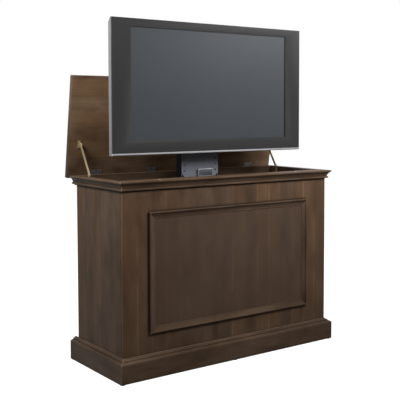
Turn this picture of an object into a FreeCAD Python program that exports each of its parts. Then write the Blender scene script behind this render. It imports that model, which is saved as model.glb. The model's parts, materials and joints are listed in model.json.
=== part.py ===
import FreeCAD, Part
import math
import os

# Television lift cabinet, shown with the lid open and the television raised.
# Millimetres, +Z up, front towards -Y, origin on the floor under the middle of the carcass.

# ---------------------------------------------------------------- driving dimensions: cabinet
TV_SIDE_ROOM = 22.0  # between the television and the inside of a side panel
CARCASS_DEPTH = 444.0
RIM_HEIGHT = 889.0
BOARD = 18.0  # front, side and bottom boards
BACK_BOARD = 12.0
FLOOR_CLEARANCE = 6.0  # underside of the boards above the floor
GLIDE_HEIGHT = 3.0
GLIDE_RADIUS = 12.0
PLINTH_TOP = 84.0
PLINTH_THICKNESS = 29.0
CAP_HEIGHT = 26.0
CAP_STEP = 4.0
CAP_LEDGE = 14.0
CROWN_HEIGHT = 41.0
CROWN_PROJECTION = 25.0
CROWN_SLAB = 9.0  # thickness of the rounded top member of the crown
CROWN_NOSE = 3.0  # how far its rounded edge bulges, and the edge of the bead below
CROWN_BEAD = 13.0  # projection of the bead at the foot of the crown
CROWN_BEAD_HEIGHT = 10.0
CROWN_STEP = 2.0
REAR_RAIL_HEIGHT = 46.0
FRONT_RAIL_HEIGHT = 24.0
FRONT_RAIL_DEPTH = 40.0
CLEAT = 24.0
FRAME_SIDE_MARGIN = 131.0  # from the corner of the carcass to the raised moulding on the front
FRAME_TOP_MARGIN = 100.0  # below the crown
FRAME_BOTTOM_MARGIN = 90.0  # above the cap of the plinth
FRAME_STICK = 31.0
FRAME_RAISE = 12.0
FRAME_INNER_RAISE = 3.0
FRAME_BEAD = 9.0  # width of the raised outer member
FRAME_EASE = 2.0
ACCESS_WIDTH = 740.0
ACCESS_THICKNESS = 6.0
ACCESS_LAP = 25.0  # overlap of the access panel on the back boards
ACCESS_SCREW_ROWS = 3
VENT_LENGTH = 160.0
VENT_HEIGHT = 8.0
VENT_PITCH = 24.0
VENT_ROWS = 5
VENT_DROP = 73.0
GROMMET_BORE = 24.0
GROMMET_WALL = 3.0
GROMMET_FLANGE = 7.0
GROMMET_INSET = 110.0  # from the inside of the right side panel
GROMMET_Z = 130.0

# ---------------------------------------------------------------- driving dimensions: lid, hinges and stays
LID_THICKNESS = 24.0
LID_GAP = 3.0  # between the rim and the closed lid
LID_OVERHANG = 1.0  # past the crown at each side
LID_SETBACK = 5.0  # behind the front edge of the crown
LID_ANGLE = 81.5
BUMPER_RADIUS = 6.0
BUMPER_INSET = 194.0  # from the corner of the carcass
SOFT_CLEARANCE = 0.3
AXIS_DROP = 18.0  # hinge axis below the rim
BARREL_GAP = 1.0  # between a hinge barrel and the rear rail
HINGE_COUNT = 4
HINGE_PITCH = 313.0
HINGE_WIDTH = 50.0
HINGE_MIDDLE = 20.0  # share of the middle knuckle
WEB_INSET = 1.0
LEAF = 2.5
LEAF_REACH = 37.0
LOWER_LEAF = 26.0
KNUCKLE_RADIUS = 4.5
PIN_RADIUS = 2.5
RUNNING = 0.05  # radial clearance of a pin or shaft in its hole
SIDE_PLAY = 0.3
SCREW_HEAD_RADIUS = 3.5
SCREW_HEAD = 1.2
STAY_PIVOT_REACH = 165.0  # along the lid from the hinge axis
STAY_PIVOT_OFFSET = 14.0  # off the inner face of the lid
STAY_UPPER = 167.0
STAY_LOWER = 155.0
STAY_FOOT_FORWARD = 112.5  # from the hinge axis to the lower pivot
STAY_FOOT_DROP = 131.0
STAY_BAR = 2.5
STAY_BAR_WIDTH = 14.0
STAY_PIN_RADIUS = 3.0
STAY_HEAD_RADIUS = 5.5
STAY_SEAT = 4.0  # boss between the side bracket and the lower bar
STAY_OPEN_GAP = 1.0  # between the two bars at the elbow
STAY_EAR_GAP = 1.0
STAY_RIVET = 2.0
STAY_FOOT_LENGTH = 38.0
STAY_FOOT_WIDTH = 14.0
STAY_EAR_WIDTH = 16.0
STAY_PLATE_ABOVE = 14.0
STAY_PLATE_BELOW = 28.0

# ---------------------------------------------------------------- driving dimensions: lift
TV_RAISED_GAP = 103.0  # from the rim to the raised television
TV_FLOOR_GAP = 8.0  # under the lowered television
GUIDE_REACH = 14.0  # from the carriage plate to the stage plate
STAGE_WIDTH = 222.0
STAGE_SHEET = 3.0
STAGE_DEPTH = 49.0
STAGE_BEHIND_TV = 218.0  # top of the stage above the lower edge of the television
STAGE_OVERLAP = 115.0  # of the raised stage on the column
PLATE_BELOW_RIM = 21.0
PLATE_CHAMFER = 18.0
HOLE_RADIUS = 4.0
HOLE_PITCH = 30.0
HOLE_EDGE = 18.0
STAGE_CAP = 8.0
COLUMN_WIDTH = 176.0
COLUMN_WALL = 3.0
COLUMN_GAP = 4.0  # between the stage and the front and rear of the column
COLUMN_STOP_GAP = 7.0  # between the column and the lowered stage's cap
BASE_PLATE = 8.0
BASE_PLATE_WIDTH = 320.0
BASE_PLATE_DEPTH = 130.0
BASE_BOLT_RADIUS = 6.5
BASE_BOLT_HEAD = 5.0
BASE_BOLT_EDGE = 16.0
PAD_HEIGHT = 40.0
PAD_DEPTH = 30.0
PAD_MARGIN = 6.0
SPINDLE_X = 55.0
SPINDLE_SETBACK = 18.0  # behind the stage channel
SPINDLE_RADIUS = 7.0
SPINDLE_ENTRY = 12.0
NUT_WIDTH = 30.0
NUT_WALL = 6.0
NUT_HEIGHT = 40.0
BEARING_THICKNESS = 10.0
BEARING_HALF = 20.0
BEARING_REACH = 10.0
CROSSBAR = 6.0
GEARBOX_WIDTH = 60.0
GEARBOX_DEPTH = 40.0
GEARBOX_HEIGHT = 50.0
BASE_MOTOR_RADIUS = 22.0
BASE_MOTOR_LENGTH = 95.0
STAGE_GEARBOX_WIDTH = 50.0
STAGE_GEARBOX_HEIGHT = 40.0
STAGE_MOTOR_RADIUS = 17.0
STAGE_MOTOR_LENGTH = 70.0
SWITCH_BOX_WIDTH = 92.0
SWITCH_BOX_HEIGHT = 39.0
SWITCH_BOX_OFFSET = 26.0
SWITCH_BOX_CLEARANCE = 1.0
SWITCH_BOX_ROUND = 5.0
GUIDE_WALL = 14.0
GUIDE_HEIGHT = 80.0
GUIDE_MARGIN = 5.0  # below the top of the stage
GUIDE_HOOK = 6.0
CARRIAGE_PLATE = 5.0
CARRIAGE_WIDTH = 460.0
CARRIAGE_HEIGHT = 210.0
CONTROL_WIDTH = 160.0
CONTROL_DEPTH = 90.0
CONTROL_HEIGHT = 40.0
CONTROL_INSET = 120.0  # from the inside of the right side panel

# ---------------------------------------------------------------- driving dimensions: television
TV_FRONT_Y = -64.0
SCREEN_WIDTH = 921.6
SCREEN_HEIGHT = 518.4
BEZEL_SIDE = 97.2
BEZEL_BOTTOM = 69.5
BEZEL_TOP = 39.1
BEZEL_DEPTH = 10.0
BEZEL_LIP = 6.0
SCREEN_LAP = 6.0
SCREEN_THICKNESS = 5.0
TRIM_HEIGHT = 11.0
TRIM_PROUD = 1.5
EDGE_DEPTH = 34.0  # of the set at its sides
EDGE_DROP = 22.0  # where the top edge reaches that depth
TV_DEPTH = 95.0
COVER_WALL = 3.0
COVER_MARGIN = 18.0
COVER_SIDE_SLOPE = 118.0  # the flat back starts this far inside the edges of the set
COVER_BOTTOM_SLOPE = 60.0
COVER_TOP_SLOPE = 217.0
EDGE_TOP = 4.0  # flat at the top edge behind the bezel
RAIL_SPACING = 400.0
RAIL_WIDTH = 30.0
RAIL_LENGTH = 300.0

# ---------------------------------------------------------------- derived places
TV_WIDTH = SCREEN_WIDTH + 2 * BEZEL_SIDE
TV_HEIGHT = BEZEL_BOTTOM + SCREEN_HEIGHT + BEZEL_TOP
INNER_X = TV_WIDTH / 2 + TV_SIDE_ROOM
HALF_WIDTH = INNER_X + BOARD
HALF_DEPTH = CARCASS_DEPTH / 2
BACK_INSIDE = HALF_DEPTH - BACK_BOARD
GROMMET_X = INNER_X - GROMMET_INSET
BUMPER_X = HALF_WIDTH - BUMPER_INSET
FLOOR_TOP = FLOOR_CLEARANCE + BOARD
RAIL_UNDERSIDE = RIM_HEIGHT - REAR_RAIL_HEIGHT
RAIL_BACK = HALF_DEPTH + CROWN_PROJECTION
AXIS_Y = RAIL_BACK + BARREL_GAP + KNUCKLE_RADIUS
AXIS_Z = RIM_HEIGHT - AXIS_DROP
LID_FACE = RIM_HEIGHT + LID_GAP
LID_HALF = HALF_WIDTH + CROWN_PROJECTION + LID_OVERHANG
LID_FRONT = -HALF_DEPTH - CROWN_PROJECTION + LID_SETBACK
FRAME_HALF = HALF_WIDTH - FRAME_SIDE_MARGIN
FRAME_BOTTOM = PLINTH_TOP + CAP_HEIGHT + FRAME_BOTTOM_MARGIN
FRAME_TOP = RIM_HEIGHT - CROWN_HEIGHT - FRAME_TOP_MARGIN
TV_BOTTOM = RIM_HEIGHT + TV_RAISED_GAP
TRAVEL = TV_BOTTOM - FLOOR_TOP - TV_FLOOR_GAP  # of the television; the stage makes half of it
CARRIAGE_FRONT = TV_FRONT_Y + TV_DEPTH + CARRIAGE_PLATE
CARRIAGE_REAR = CARRIAGE_FRONT + CARRIAGE_PLATE
PLATE_Y = CARRIAGE_REAR + GUIDE_REACH
PLATE_BOTTOM = RIM_HEIGHT - PLATE_BELOW_RIM
STAGE_TOP = TV_BOTTOM + STAGE_BEHIND_TV
STAGE_BACK = PLATE_Y + STAGE_DEPTH
COLUMN_TOP = STAGE_TOP - TRAVEL / 2 - STAGE_CAP - COLUMN_STOP_GAP
STAGE_BOTTOM = COLUMN_TOP - STAGE_OVERLAP
COLUMN_FRONT = PLATE_Y + STAGE_SHEET + COLUMN_GAP
COLUMN_BACK = STAGE_BACK - COLUMN_GAP
COLUMN_BOTTOM = FLOOR_TOP + BASE_PLATE
SPINDLE_Y = STAGE_BACK + SPINDLE_SETBACK
BEARING_BACK = SPINDLE_Y + BEARING_REACH
NUT_BACK = SPINDLE_Y + SPINDLE_RADIUS + NUT_WALL
GUIDE_BOTTOM = STAGE_TOP - GUIDE_MARGIN - GUIDE_HEIGHT
NUT_ARM_Z = GUIDE_BOTTOM + (GUIDE_HEIGHT - NUT_HEIGHT) / 2


# ---------------------------------------------------------------- helpers
def vec(x, y, z):
    return FreeCAD.Vector(x, y, z)


def block(x0, x1, y0, y1, z0, z1):
    return Part.makeBox(x1 - x0, y1 - y0, z1 - z0, vec(x0, y0, z0))


def rod(radius, start, direction, length):
    return Part.makeCylinder(radius, length, start, direction)


def outline(points):
    # Closed face through the points. A point is a vector for a straight edge, or a pair of
    # vectors, middle and end, for an arc.
    edges = []
    here = points[0]
    for step in points[1:] + [points[0]]:
        if isinstance(step, tuple):
            edges.append(Part.Arc(here, step[0], step[1]).toShape())
            here = step[1]
        else:
            edges.append(Part.LineSegment(here, step).toShape())
            here = step
    return Part.Face(Part.Wire(edges))


def mirrored(shape):
    return shape.mirror(vec(0, 0, 0), vec(1, 0, 0))


def group(shapes):
    return Part.makeCompound(shapes)


def opened(shape):
    # Turns a shape from the closed lid's place to the open one.
    turned = shape.copy()
    turned.rotate(vec(0, AXIS_Y, AXIS_Z), vec(1, 0, 0), -LID_ANGLE)
    return turned


def turned_about_z(shape, angle):
    turned = shape.copy()
    turned.rotate(vec(0, 0, 0), vec(0, 0, 1), angle)
    return turned


def moulding(profile, face, left_end, right_end, left_mitre, right_mitre):
    # A stick that stands against the plane y = -face and runs along X. The profile's points are
    # (projection, z). A mitred end grows with the projection.
    def place(point):
        if isinstance(point[0], tuple):
            return (place(point[0]), place(point[1]))
        return vec(0, -face - point[0], point[1])

    points = [q for p in profile for q in (p if isinstance(p[0], tuple) else (p,))]
    reach = max(q[0] for q in points) + 1
    low = min(q[1] for q in points) - 1
    high = max(q[1] for q in points) + 1
    section = outline([place(p) for p in profile])
    section.translate(vec(left_end - reach, 0, 0))
    stick = section.extrude(vec(right_end - left_end + 2 * reach, 0, 0))
    plan = outline(
        [
            vec(left_end, -face, low),
            vec(right_end, -face, low),
            vec(right_end + right_mitre * reach, -face - reach, low),
            vec(left_end - left_mitre * reach, -face - reach, low),
        ]
    )
    return stick.common(plan.extrude(vec(0, 0, high - low)))


# ---------------------------------------------------------------- plinth, cap and crown
def plinth_profile():
    face = PLINTH_THICKNESS
    return [(0, GLIDE_HEIGHT), (face, GLIDE_HEIGHT), (face, PLINTH_TOP), (0, PLINTH_TOP)]


def cap_profile():
    top = PLINTH_TOP + CAP_HEIGHT
    ledge = PLINTH_TOP + CAP_HEIGHT / 2
    return [
        (0, PLINTH_TOP),
        (PLINTH_THICKNESS, PLINTH_TOP),
        (PLINTH_THICKNESS, PLINTH_TOP + CAP_STEP),
        ((PLINTH_THICKNESS - CAP_STEP, ledge - CAP_STEP), (CAP_LEDGE, ledge)),
        (CAP_LEDGE, ledge + CAP_STEP),
        (CAP_STEP / 2, top - CAP_STEP / 2),
        (CAP_STEP / 2, top),
        (0, top),
    ]


def crown_profile():
    bottom = RIM_HEIGHT - CROWN_HEIGHT
    slab = RIM_HEIGHT - CROWN_SLAB
    flat = CROWN_PROJECTION - CROWN_NOSE
    neck = flat - CROWN_STEP
    bead = CROWN_BEAD - CROWN_NOSE
    quirk = bead - CROWN_STEP
    foot = bottom + CROWN_BEAD_HEIGHT + CROWN_STEP
    cove = (quirk + (neck - quirk) * 0.4, foot + (slab - CROWN_STEP - foot) * 0.6)
    return [
        (0, bottom),
        (bead, bottom),
        ((CROWN_BEAD, bottom + CROWN_BEAD_HEIGHT / 2), (bead, bottom + CROWN_BEAD_HEIGHT)),
        (quirk, bottom + CROWN_BEAD_HEIGHT),
        (quirk, foot),
        (cove, (neck, slab - CROWN_STEP)),
        (neck, slab),
        (flat, slab),
        ((CROWN_PROJECTION, slab + CROWN_SLAB / 2), (flat, RIM_HEIGHT)),
        (0, RIM_HEIGHT),
    ]


def front_stick(profile):
    return moulding(profile, HALF_DEPTH, -HALF_WIDTH, HALF_WIDTH, 1, 1)


def left_stick(profile, rear):
    return turned_about_z(moulding(profile, HALF_WIDTH, -HALF_DEPTH - rear, HALF_DEPTH, 0, 1), -90)


def right_stick(profile, rear):
    return mirrored(left_stick(profile, rear))


def plinth_side():
    board = moulding(plinth_profile(), HALF_WIDTH, -HALF_DEPTH, HALF_DEPTH, 1, 1)
    return turned_about_z(board, -90)


def plinth_back():
    return turned_about_z(front_stick(plinth_profile()), 180)


def floor_glides():
    x = HALF_WIDTH + PLINTH_THICKNESS / 2
    y = HALF_DEPTH + PLINTH_THICKNESS / 2
    places = [(sx * x, sy * y) for sx in (-1, 0, 1) for sy in (-1, 1)]
    up = vec(0, 0, 1)
    discs = [rod(GLIDE_RADIUS, vec(px, py, 0), up, GLIDE_HEIGHT) for px, py in places]
    middle = rod(GLIDE_RADIUS, vec(0, 0, 0), up, FLOOR_CLEARANCE)
    return group(discs + [middle])


# ---------------------------------------------------------------- carcass
def front_panel():
    return block(-HALF_WIDTH, HALF_WIDTH, -HALF_DEPTH, -HALF_DEPTH + BOARD, FLOOR_CLEARANCE, RIM_HEIGHT)


def side_panel():
    return block(-HALF_WIDTH, -INNER_X, -HALF_DEPTH + BOARD, HALF_DEPTH, FLOOR_CLEARANCE, RIM_HEIGHT)


def bottom_panel():
    return block(-INNER_X, INNER_X, -HALF_DEPTH + BOARD, HALF_DEPTH, FLOOR_CLEARANCE, FLOOR_TOP)


def back_boards():
    edge = ACCESS_WIDTH / 2 - ACCESS_LAP
    board = block(edge, INNER_X, BACK_INSIDE, HALF_DEPTH, FLOOR_TOP, RAIL_UNDERSIDE)
    port = rod(GROMMET_BORE + GROMMET_WALL, vec(GROMMET_X, BACK_INSIDE, GROMMET_Z), vec(0, 1, 0), BACK_BOARD)
    return group([mirrored(board), board.cut(port)])


def access_panel():
    half = ACCESS_WIDTH / 2
    rear = HALF_DEPTH + ACCESS_THICKNESS
    panel = block(-half, half, HALF_DEPTH, rear, PLINTH_TOP, RAIL_UNDERSIDE)
    for row in range(VENT_ROWS):
        z = RAIL_UNDERSIDE - VENT_DROP - row * VENT_PITCH
        for x in (-ACCESS_WIDTH / 4, ACCESS_WIDTH / 4):
            x0 = x - VENT_LENGTH / 2
            panel = panel.cut(block(x0, x0 + VENT_LENGTH, HALF_DEPTH, rear, z, z + VENT_HEIGHT))
    return panel


def access_screws():
    half = ACCESS_WIDTH / 2 - ACCESS_LAP / 2
    low = PLINTH_TOP + ACCESS_LAP
    step = (RAIL_UNDERSIDE - ACCESS_LAP - low) / (ACCESS_SCREW_ROWS - 1)
    face = HALF_DEPTH + ACCESS_THICKNESS
    places = [(x, low + i * step) for x in (-half, half) for i in range(ACCESS_SCREW_ROWS)]
    return [rod(SCREW_HEAD_RADIUS, vec(x, face, z), vec(0, 1, 0), SCREW_HEAD) for x, z in places]


def cable_grommet():
    front = BACK_INSIDE
    outer = GROMMET_BORE + GROMMET_WALL
    sleeve = rod(outer, vec(GROMMET_X, front, GROMMET_Z), vec(0, 1, 0), BACK_BOARD)
    flange = rod(outer + GROMMET_FLANGE, vec(GROMMET_X, HALF_DEPTH, GROMMET_Z), vec(0, 1, 0), GROMMET_WALL)
    bore = rod(GROMMET_BORE, vec(GROMMET_X, front, GROMMET_Z), vec(0, 1, 0), BACK_BOARD + GROMMET_WALL)
    return sleeve.fuse(flange).cut(bore).removeSplitter()


def rim_rail_back():
    inside = block(-INNER_X, INNER_X, HALF_DEPTH - BOARD, HALF_DEPTH, RAIL_UNDERSIDE, RIM_HEIGHT)
    outside = block(-HALF_WIDTH, HALF_WIDTH, HALF_DEPTH, RAIL_BACK, RAIL_UNDERSIDE, RIM_HEIGHT)
    return inside.fuse(outside).removeSplitter()


def rim_rail_front():
    front = -HALF_DEPTH + BOARD
    z0 = RIM_HEIGHT - FRONT_RAIL_HEIGHT
    return block(-INNER_X, INNER_X, front, front + FRONT_RAIL_DEPTH, z0, RIM_HEIGHT)


def corner_cleat(front):
    if front:
        y = -HALF_DEPTH + BOARD
        top = RIM_HEIGHT - FRONT_RAIL_HEIGHT
    else:
        y = BACK_INSIDE - CLEAT
        top = RAIL_UNDERSIDE
    return block(-INNER_X, -INNER_X + CLEAT, y, y + CLEAT, FLOOR_TOP, top)


def corner_cleats():
    left = [corner_cleat(True), corner_cleat(False)]
    return group(left + [mirrored(cleat) for cleat in left])


def lid_bumpers():
    height = LID_GAP - SOFT_CLEARANCE
    front_y = -HALF_DEPTH + BOARD / 2
    rear_y = HALF_DEPTH
    places = [(x, y) for x in (-BUMPER_X, BUMPER_X) for y in (front_y, rear_y)]
    return group([rod(BUMPER_RADIUS, vec(x, y, RIM_HEIGHT), vec(0, 0, 1), height) for x, y in places])


# ---------------------------------------------------------------- raised moulding on the front
def frame_stick(length):
    # Lies along X with its outer edge at z = 0 and its back on the plane y = 0.
    shoulder = FRAME_RAISE - FRAME_EASE
    step = shoulder - FRAME_EASE
    low = FRAME_INNER_RAISE
    hollow = vec(0, -low - (step - low) * 0.3, FRAME_BEAD + (FRAME_STICK - FRAME_BEAD) * 0.45)
    section = outline(
        [
            vec(0, 0, 0),
            vec(0, -shoulder, 0),
            (vec(0, -FRAME_RAISE, FRAME_BEAD / 2), vec(0, -shoulder, FRAME_BEAD)),
            vec(0, -step, FRAME_BEAD),
            (hollow, vec(0, -low, FRAME_STICK - FRAME_EASE)),
            vec(0, -low, FRAME_STICK),
            vec(0, 0, FRAME_STICK),
        ]
    )
    bar = section.extrude(vec(length, 0, 0))
    plan = outline(
        [
            vec(0, 0, 0),
            vec(length, 0, 0),
            vec(length - FRAME_STICK, 0, FRAME_STICK),
            vec(FRAME_STICK, 0, FRAME_STICK),
        ]
    )
    return bar.common(plan.extrude(vec(0, -FRAME_RAISE, 0)))


def front_moulding(side):
    width = 2 * FRAME_HALF
    height = FRAME_TOP - FRAME_BOTTOM
    along, across = (width, height) if side in ("bottom", "top") else (height, width)
    turn = {"bottom": 0, "right": -90, "top": 180, "left": 90}[side]
    stick = frame_stick(along)
    stick.translate(vec(-along / 2, 0, -across / 2))
    stick.rotate(vec(0, 0, 0), vec(0, 1, 0), turn)
    stick.translate(vec(0, -HALF_DEPTH, (FRAME_BOTTOM + FRAME_TOP) / 2))
    return stick


# ---------------------------------------------------------------- lid and hinges
def lid_panel():
    return opened(block(-LID_HALF, LID_HALF, LID_FRONT, AXIS_Y, LID_FACE, LID_FACE + LID_THICKNESS))


def hinge_places():
    first = -HINGE_PITCH * (HINGE_COUNT - 1) / 2
    return [first + HINGE_PITCH * i for i in range(HINGE_COUNT)]


def on_axis(radius, x, width):
    return rod(radius, vec(x - width / 2, AXIS_Y, AXIS_Z), vec(1, 0, 0), width)


def side_knuckle():
    return (HINGE_WIDTH - HINGE_MIDDLE) / 2 - SIDE_PLAY


def side_knuckle_places(x):
    offset = (HINGE_WIDTH - side_knuckle()) / 2
    return [x - offset, x + offset]


def lower_leaf(x):
    half = HINGE_WIDTH / 2
    plate = block(x - half, x + half, RAIL_BACK, RAIL_BACK + LEAF, AXIS_Z - LOWER_LEAF, AXIS_Z - SIDE_PLAY)
    plate = plate.cut(on_axis(KNUCKLE_RADIUS + SIDE_PLAY, x, HINGE_MIDDLE + 2 * SIDE_PLAY))
    for place in side_knuckle_places(x):
        plate = plate.fuse(on_axis(KNUCKLE_RADIUS, place, side_knuckle()))
    return plate.cut(on_axis(PIN_RADIUS + RUNNING, x, HINGE_WIDTH)).removeSplitter()


def upper_leaf(x):
    # In the closed lid's place: up behind the rail, then forward under the lid.
    half = HINGE_WIDTH / 2
    web_y = AXIS_Y - KNUCKLE_RADIUS + WEB_INSET
    web = block(x - half, x + half, web_y, web_y + LEAF, AXIS_Z, LID_FACE)
    flat = block(x - half, x + half, AXIS_Y - LEAF_REACH, web_y + LEAF, LID_FACE - LEAF, LID_FACE)
    leaf = web.fuse(flat)
    for place in side_knuckle_places(x):
        leaf = leaf.cut(on_axis(KNUCKLE_RADIUS + SIDE_PLAY, place, side_knuckle() + 2 * SIDE_PLAY))
    leaf = leaf.fuse(on_axis(KNUCKLE_RADIUS, x, HINGE_MIDDLE))
    for head in upper_leaf_heads(x):
        leaf = leaf.cut(head)
    return opened(leaf.cut(on_axis(PIN_RADIUS + RUNNING, x, HINGE_WIDTH)).removeSplitter())


def hinge_pin(x):
    return on_axis(PIN_RADIUS, x, HINGE_WIDTH)


def lower_leaf_screws(x):
    z = AXIS_Z - LOWER_LEAF * 0.6
    face = RAIL_BACK + LEAF
    places = (x - HINGE_WIDTH / 3, x, x + HINGE_WIDTH / 3)
    return [rod(SCREW_HEAD_RADIUS, vec(px, face, z), vec(0, 1, 0), SCREW_HEAD) for px in places]


def upper_leaf_heads(x):
    # The heads are let into the leaf, so that it still closes over the rail.
    heads = []
    for px, reach in ((x - HINGE_WIDTH / 3, 0.55), (x, 0.8), (x + HINGE_WIDTH / 3, 0.55)):
        start = vec(px, AXIS_Y - LEAF_REACH * reach, LID_FACE - LEAF)
        heads.append(rod(SCREW_HEAD_RADIUS, start, vec(0, 0, 1), SCREW_HEAD))
    return heads


# ---------------------------------------------------------------- lid stays, built at the left side
STAY_LOWER_X = INNER_X - STAY_BAR - STAY_SEAT  # outer face of the lower bar, measured from the middle
STAY_UPPER_X = STAY_LOWER_X - STAY_BAR - STAY_OPEN_GAP
STAY_EAR_X = STAY_UPPER_X - STAY_BAR - STAY_EAR_GAP


def lid_point(reach, height):
    # A point of the open lid, given along the closed lid and above the hinge axis.
    angle = math.radians(LID_ANGLE)
    y = AXIS_Y - reach * math.cos(angle) + height * math.sin(angle)
    z = AXIS_Z + reach * math.sin(angle) + height * math.cos(angle)
    return y, z


def stay_pivot():
    return lid_point(STAY_PIVOT_REACH, LID_FACE - AXIS_Z - STAY_PIVOT_OFFSET)


def stay_foot():
    return AXIS_Y - STAY_FOOT_FORWARD, AXIS_Z - STAY_FOOT_DROP


def stay_elbow():
    # Where the two bars meet, forward of the line from the lid pivot to the foot.
    py, pz = stay_pivot()
    fy, fz = stay_foot()
    span = math.hypot(fy - py, fz - pz)
    along = (STAY_UPPER**2 - STAY_LOWER**2 + span**2) / (2 * span)
    aside = math.sqrt(STAY_UPPER**2 - along**2)
    uy, uz = (fy - py) / span, (fz - pz) / span
    return py + along * uy + aside * uz, pz + along * uz - aside * uy


def bar_between(start, end, outer_x):
    # A flat bar with round ends in the plane x = -outer_x to -outer_x + STAY_BAR.
    length = math.hypot(end[0] - start[0], end[1] - start[1])
    angle = math.degrees(math.atan2(end[1] - start[1], end[0] - start[0]))
    half = STAY_BAR_WIDTH / 2
    body = block(-outer_x, -outer_x + STAY_BAR, 0, length, -half, half)
    for y in (0, length):
        body = body.fuse(rod(half, vec(-outer_x, y, 0), vec(1, 0, 0), STAY_BAR))
    body = body.removeSplitter()
    body.rotate(vec(0, 0, 0), vec(1, 0, 0), angle)
    body.translate(vec(0, start[0], start[1]))
    return body


def pin_at(point, x0, x1, radius):
    return rod(radius, vec(-x0, point[0], point[1]), vec(1, 0, 0), x0 - x1)


def stay_upper_bar():
    bar = bar_between(stay_pivot(), stay_elbow(), STAY_UPPER_X)
    bar = bar.cut(pin_at(stay_pivot(), STAY_UPPER_X, STAY_UPPER_X - STAY_BAR, STAY_PIN_RADIUS + RUNNING))
    inside = STAY_UPPER_X - STAY_BAR
    rivet = pin_at(stay_elbow(), inside, inside - STAY_RIVET, STAY_HEAD_RADIUS)
    return bar.fuse(rivet)


def stay_lower_bar():
    bar = bar_between(stay_elbow(), stay_foot(), STAY_LOWER_X)
    bar = bar.cut(pin_at(stay_foot(), STAY_LOWER_X, STAY_LOWER_X - STAY_BAR, STAY_PIN_RADIUS + RUNNING))
    rivet = pin_at(stay_elbow(), STAY_LOWER_X + STAY_RIVET, STAY_LOWER_X, STAY_HEAD_RADIUS)
    return bar.fuse(rivet)


def stay_lid_bracket():
    # Foot on the inner face of the lid, ear beside the upper bar, pin and pin head.
    y = AXIS_Y - STAY_PIVOT_REACH
    z = LID_FACE - STAY_PIVOT_OFFSET
    inside = STAY_EAR_X - STAY_BAR
    half = STAY_FOOT_LENGTH / 2
    side = STAY_EAR_WIDTH / 2
    foot = block(-inside - STAY_FOOT_WIDTH, -inside, y - half, y + half, LID_FACE - STAY_BAR, LID_FACE)
    ear = block(-STAY_EAR_X, -inside, y - side, y + side, z - side, LID_FACE - STAY_BAR)
    end = STAY_UPPER_X + STAY_OPEN_GAP / 2
    pin = pin_at((y, z), end, STAY_EAR_X, STAY_PIN_RADIUS)
    head = pin_at((y, z), end + STAY_RIVET, end, STAY_HEAD_RADIUS)
    return opened(foot.fuse(ear).fuse(pin).fuse(head).removeSplitter())


def stay_side_bracket():
    y, z = stay_foot()
    half = STAY_FOOT_LENGTH / 2
    face = INNER_X - STAY_BAR
    plate = block(-INNER_X, -face, y - half, y + half, z - STAY_PLATE_BELOW, z + STAY_PLATE_ABOVE)
    boss = pin_at((y, z), face, STAY_LOWER_X + SIDE_PLAY, STAY_HEAD_RADIUS)
    end = STAY_LOWER_X - STAY_BAR - SIDE_PLAY
    pin = pin_at((y, z), face, end, STAY_PIN_RADIUS)
    head = pin_at((y, z), end, end - STAY_RIVET, STAY_HEAD_RADIUS)
    return plate.fuse(boss).fuse(pin).fuse(head).removeSplitter()


# ---------------------------------------------------------------- fixed part of the lift
def lift_base_plate():
    half = BASE_PLATE_WIDTH / 2
    front = COLUMN_FRONT - BASE_BOLT_EDGE
    return block(-half, half, front, front + BASE_PLATE_DEPTH, FLOOR_TOP, COLUMN_BOTTOM)


def lift_base_bolts():
    half = BASE_PLATE_WIDTH / 2 - BASE_BOLT_EDGE
    front = COLUMN_FRONT
    rear = COLUMN_FRONT - 2 * BASE_BOLT_EDGE + BASE_PLATE_DEPTH
    places = [(x, y) for x in (-half, half) for y in (front, rear)]
    up = vec(0, 0, 1)
    return group([rod(BASE_BOLT_RADIUS, vec(x, y, COLUMN_BOTTOM), up, BASE_BOLT_HEAD) for x, y in places])


def column_tube():
    half = COLUMN_WIDTH / 2
    wall = COLUMN_WALL
    outer = block(-half, half, COLUMN_FRONT, COLUMN_BACK, COLUMN_BOTTOM, COLUMN_TOP)
    inner = block(
        -half + wall, half - wall, COLUMN_FRONT + wall, COLUMN_BACK - wall, COLUMN_BOTTOM, COLUMN_TOP - wall
    )
    return outer.cut(inner)


def column_pads():
    middle = (COLUMN_FRONT + COLUMN_BACK) / 2
    inner = COLUMN_WIDTH / 2
    outer = STAGE_WIDTH / 2 - STAGE_SHEET - SIDE_PLAY
    top = COLUMN_TOP - PAD_MARGIN
    pad = block(-outer, -inner, middle - PAD_DEPTH / 2, middle + PAD_DEPTH / 2, top - PAD_HEIGHT, top)
    return group([pad, mirrored(pad)])


def bearing_tongue(x, y0, y1, z0, z1):
    tongue = block(x - BEARING_HALF, x + BEARING_HALF, y0, y1, z0, z1)
    return tongue.cut(rod(SPINDLE_RADIUS + RUNNING, vec(x, SPINDLE_Y, z0), vec(0, 0, 1), z1 - z0))


def column_bearing():
    top = COLUMN_TOP - BEARING_THICKNESS
    return bearing_tongue(-SPINDLE_X, COLUMN_BACK, BEARING_BACK, top - BEARING_THICKNESS, top)


def gearbox(x, width, y0, y1, z0, z1):
    body = block(x - width / 2, x + width / 2, y0, y1, z0, z1)
    entry = rod(SPINDLE_RADIUS + RUNNING, vec(x, SPINDLE_Y, z1 - SPINDLE_ENTRY), vec(0, 0, 1), SPINDLE_ENTRY)
    return body.cut(entry)


def lift_base_motor():
    y0 = COLUMN_BACK
    y1 = y0 + GEARBOX_DEPTH
    z1 = COLUMN_BOTTOM + GEARBOX_HEIGHT
    body = gearbox(-SPINDLE_X, GEARBOX_WIDTH, y0, y1, COLUMN_BOTTOM, z1)
    can_y = y0 + BASE_MOTOR_RADIUS + SIDE_PLAY
    start = vec(-SPINDLE_X - GEARBOX_WIDTH / 2, can_y, COLUMN_BOTTOM + GEARBOX_HEIGHT / 2)
    can = rod(BASE_MOTOR_RADIUS, start, vec(-1, 0, 0), BASE_MOTOR_LENGTH)
    return body.fuse(can)


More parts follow.
